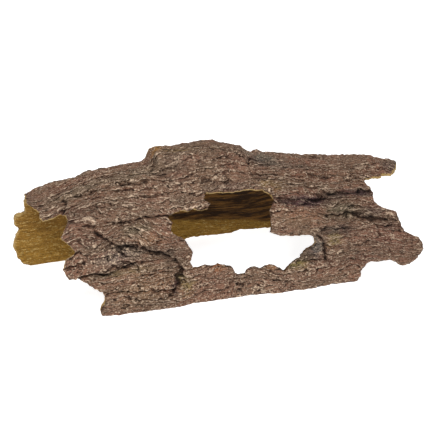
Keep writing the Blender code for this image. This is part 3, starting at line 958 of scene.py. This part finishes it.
class Finish:
    """A material and one way to add nodes to it."""

    def __init__(self, name):
        self.material = bpy.data.materials.new(name)
        self.material.use_nodes = True
        self.tree = self.material.node_tree
        self.surface = self.tree.nodes["Principled BSDF"]

    def node(self, kind, settings, sockets, output=0):
        made = self.tree.nodes.new(kind)
        for name, value in settings.items():
            setattr(made, name, value)
        for name, value in sockets.items():
            self.plug(made.inputs[name], value)
        return Wire(self, made.outputs[output])

    def plug(self, target, value):
        if isinstance(value, Wire):
            self.tree.links.new(value.socket, target)
        else:
            target.default_value = value

    def mark(self, name, output="Fac"):
        return self.node("ShaderNodeAttribute", {"attribute_name": name}, {}, output)

    def mix(self, share, first, second, blend="MIX"):
        settings = {"data_type": "RGBA", "blend_type": blend}
        return self.node("ShaderNodeMix", settings, {0: share, 6: first, 7: second}, 2)

    def stretch(self, place, size):
        """Places divided by the size that a pattern should have, in metres."""
        scale = tuple(1 / part for part in size)
        return self.node("ShaderNodeVectorMath", {"operation": "MULTIPLY"}, {0: place, 1: scale})

    def pattern(self, place, size, detail=3.0, roughness=0.55, warp=0.0):
        sockets = {"Vector": self.stretch(place, size), "Scale": 1.0, "Detail": detail,
                   "Roughness": roughness, "Distortion": warp}
        return self.node("ShaderNodeTexNoise", {}, sockets)

    def threads(self, place, size, thin, detail=1.5):
        """Thin wandering lines, 0 to 1, where a smooth pattern passes its middle value."""
        away = self.pattern(place, size, detail, 0.5) - 0.5
        return away.sum("ABSOLUTE", away).limit(thin, 0.0)


print("A wire adds, takes away and multiplies")

# %% [markdown]
# ## The patterns of the finish
# All patterns are drawn on `grain_place`, so they follow the grain and don't stretch with the
# roll. Each has its own size: wide along the grain for patches, streaks and broken layers, and
# nearly round for dust and grit. Threads and crinkles are the thin pale lines between scales.

# %% Patterns, with their sizes in metres
finish = Finish("bark_outside_and_ochre_inside")
place = finish.mark("grain_place", "Vector")

patches = finish.pattern(place, (0.045, 0.018, 0.02), 3)
blotches = finish.pattern(place, (0.014, 0.006, 0.006), 3)
specks = finish.pattern(place, (0.0042, 0.0013, 0.0013), 2, 0.6)
dust = finish.pattern(place, (0.0014, 0.0010, 0.0010), 2, 0.65)
grit = finish.pattern(place, (0.0012, 0.0012, 0.0012), 1, 0.6)
threads = finish.threads(place, (0.0085, 0.0021, 0.0021), 0.05)
crinkles = finish.threads(place, (0.0036, 0.0016, 0.0016), 0.07, 1.0)
broken = finish.pattern(place, (0.0075, 0.0026, 0.0026), 2, 0.6)
streaks = finish.pattern(place, (0.022, 0.0026, 0.0026), 4, 0.65)
print("The patterns take", len(finish.tree.nodes), "nodes")

# %% [markdown]
# ## Worn and lit crests, and shaded steps
# The phases say where a point lies on its ledge. Just before the drop the ledge is worn pale and
# painted with highlight, as on its lit side, and past it there is painted shade. Both come and go
# with the broken pattern, or the ledges would look combed.

# %% Crests and shades of the ledges
fine = finish.mark("stands_fine")
broad = finish.mark("stands_broad")
ragged = (specks - 0.5) * 0.7 + (dust - 0.5) * 0.4
broad_part = (finish.mark("broad_phase") + ragged * 0.35).remainder()
fine_part = (finish.mark("fine_phase") + ragged * 0.8).remainder()
# Painted highlight and shade: each crest is worn tan and also the lit side of its ledge, and each
# shade is painted shade below the drop.
broad_crest = broad_part.limit(0.74, 0.84) * broad_part.limit(0.97, 0.89)
fine_crest = fine_part.limit(0.66, 0.78) * fine_part.limit(0.98, 0.88)
broad_shade = broad_part.limit(0.89, 0.97) + broad_part.limit(0.16, 0.02)
fine_shade = fine_part.limit(0.88, 0.97) + fine_part.limit(0.24, 0.04)
print("Broad and fine ledges each have a crest and a shade")

# %% [markdown]
# ## The outside
# The base colour gets greyer patches, redder blotches and dark grains. Over it lies the worn tan,
# on crests, where it is also painted highlight, threads and flecks, less in the calm places and where
# the base is dark. The shades of the ledges and everything that lies deep are darkened last.

# %% Colour of the outside
GREY_PATCH, RED_BLOTCH, DARK_GRAIN = colour(112, 100, 80), colour(138, 94, 76), colour(54, 39, 31)
WORN_AND_LIT_TAN, LEDGE_SHADE, DEEP_SHADE = colour(209, 183, 157), colour(88, 70, 58), colour(72, 56, 48)

brown = finish.mark("base_colour", "Color")
brown = finish.mix(patches.limit(0.62, 0.38) * 0.35, brown, GREY_PATCH)
brown = finish.mix(blotches.limit(0.52, 0.72) * 0.45, brown, RED_BLOTCH)
dark_grain = (specks * -1.0 + 0.50).limit(0.0, 0.15) * 0.64
dark_grain = dark_grain + (dust * -1.0 + 0.48).limit(0.0, 0.13) * 0.7
brown = finish.mix(dark_grain.limit(0.0, 1.1), brown, DARK_GRAIN)

calmness = finish.mark("calm")
busy = 1.0 - calmness * 0.2
gravelly = calmness.limit(-0.1, -0.9)
# The crest part of this is painted highlight as well as worn tan; threads, crinkles and flecks are
# worn paint.
worn_and_lit = broad_crest * broken.limit(0.38, 0.58) * 0.7 + fine_crest * broken.limit(0.6, 0.42) * 0.6
worn_and_lit = worn_and_lit * (busy - gravelly * 0.6) + threads * 0.5 * busy
worn_and_lit = worn_and_lit + crinkles * 0.5 * broken.limit(0.40, 0.60) + fine * 0.2
flecks = (dust - 0.5) * 1.9 + (grit - 0.5) * (gravelly * 1.2 + 2.1)
worn_and_lit = (worn_and_lit + flecks * busy - 0.2).limit(0.0, 0.9)
lit = 1.0 - finish.mark("in_the_dark") * 0.8
bark_colour = finish.mix(worn_and_lit * lit * 0.9, brown, WORN_AND_LIT_TAN)

shade = broad_shade * broken.limit(0.65, 0.45) * 0.8 + fine_shade * broken.limit(0.35, 0.55) * 0.7
bark_colour = finish.mix((shade * busy).limit(0.0, 1.1), bark_colour, LEDGE_SHADE, "MULTIPLY")
deep = (fine * -0.5 + broad * -0.5 - 0.3).limit(0.0, 1.3)
bark_colour = finish.mix(deep * 0.9, bark_colour, DEEP_SHADE, "MULTIPLY")
print("With the outside there are", len(finish.tree.nodes), "nodes")

# %% [markdown]
# ## The inside, the rim and the bump
# The inside is streaky ochre, paler near the feet, partly as painted light, with light and dark
# specks, and umber over the crown, partly its own colour and partly painted shade. The torn rim is
# paler ochre. Where `torn_rim` is below zero it adds no ochre, and turns the rim umber instead.
# The two colours meet just past the outer edge of the rim. A fine bump adds what is too small for
# the mesh.

# %% Colour of the inside, and the join
DARK_OCHRE, LIGHT_OCHRE, LOW_LIT_OCHRE = colour(120, 85, 30), colour(150, 112, 49), colour(155, 117, 47)
PALE_SPECK, DARK_SPECK, RIM_OCHRE = colour(206, 176, 112), colour(84, 58, 24), colour(186, 157, 104)
DARK_UMBER, LIGHT_UMBER = colour(50, 30, 11), colour(120, 83, 37)
BUMP_HEIGHT = 0.0009

inward = finish.mark("inward")
rim = finish.mark("torn_rim")
ochre = finish.mix(streaks.limit(0.30, 0.70), DARK_OCHRE, LIGHT_OCHRE)
# Painted light: paler ochre low on the walls, partly its own colour.
ochre = finish.mix(finish.mark("low_wall_pale_and_lit") * 0.45, ochre, LOW_LIT_OCHRE)
ochre = finish.mix((dust + specks - 1.08).limit(0.0, 0.15) * 0.6, ochre, PALE_SPECK)
ochre = finish.mix((0.92 - dust - specks).limit(0.0, 0.15) * 0.5, ochre, DARK_SPECK)
ochre = finish.mix(rim * 0.75, ochre, RIM_OCHRE)
umber = finish.mix(streaks.limit(0.42, 0.64), DARK_UMBER, LIGHT_UMBER)
# Painted shade: umber over the crown, partly its own colour and partly painted shade.
umber_and_shade_share = (finish.mark("crown_umber_and_shade") - rim + streaks * 0.5 - 0.25).limit(0.3, 0.7)
inner_colour = finish.mix(umber_and_shade_share, ochre, umber)
side_join = (inward + rim * 0.2 + dust * 0.3 - 0.15).limit(0.25, 0.45)

finish.plug(finish.surface.inputs["Base Color"], finish.mix(side_join, bark_colour, inner_colour))
finish.plug(finish.surface.inputs["Roughness"], 0.84 - worn_and_lit * 0.14)
finish.surface.inputs["Specular IOR Level"].default_value = 0.15
bump_height = worn_and_lit * 0.6 - shade * 0.5 + specks * 0.8 + dust * 0.8 + streaks * 0.6
bump_settings = {"Strength": 1.0, "Distance": BUMP_HEIGHT, "Height": bump_height}
finish.plug(finish.surface.inputs["Normal"], finish.node("ShaderNodeBump", {}, bump_settings))
bark.data.materials.clear()
bark.data.materials.append(finish.material)
print("The finish has", len(finish.tree.nodes), "nodes")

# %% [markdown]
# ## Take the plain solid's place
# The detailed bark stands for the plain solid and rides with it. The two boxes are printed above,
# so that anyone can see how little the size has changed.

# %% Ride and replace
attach(bark, "root")
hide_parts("bark")
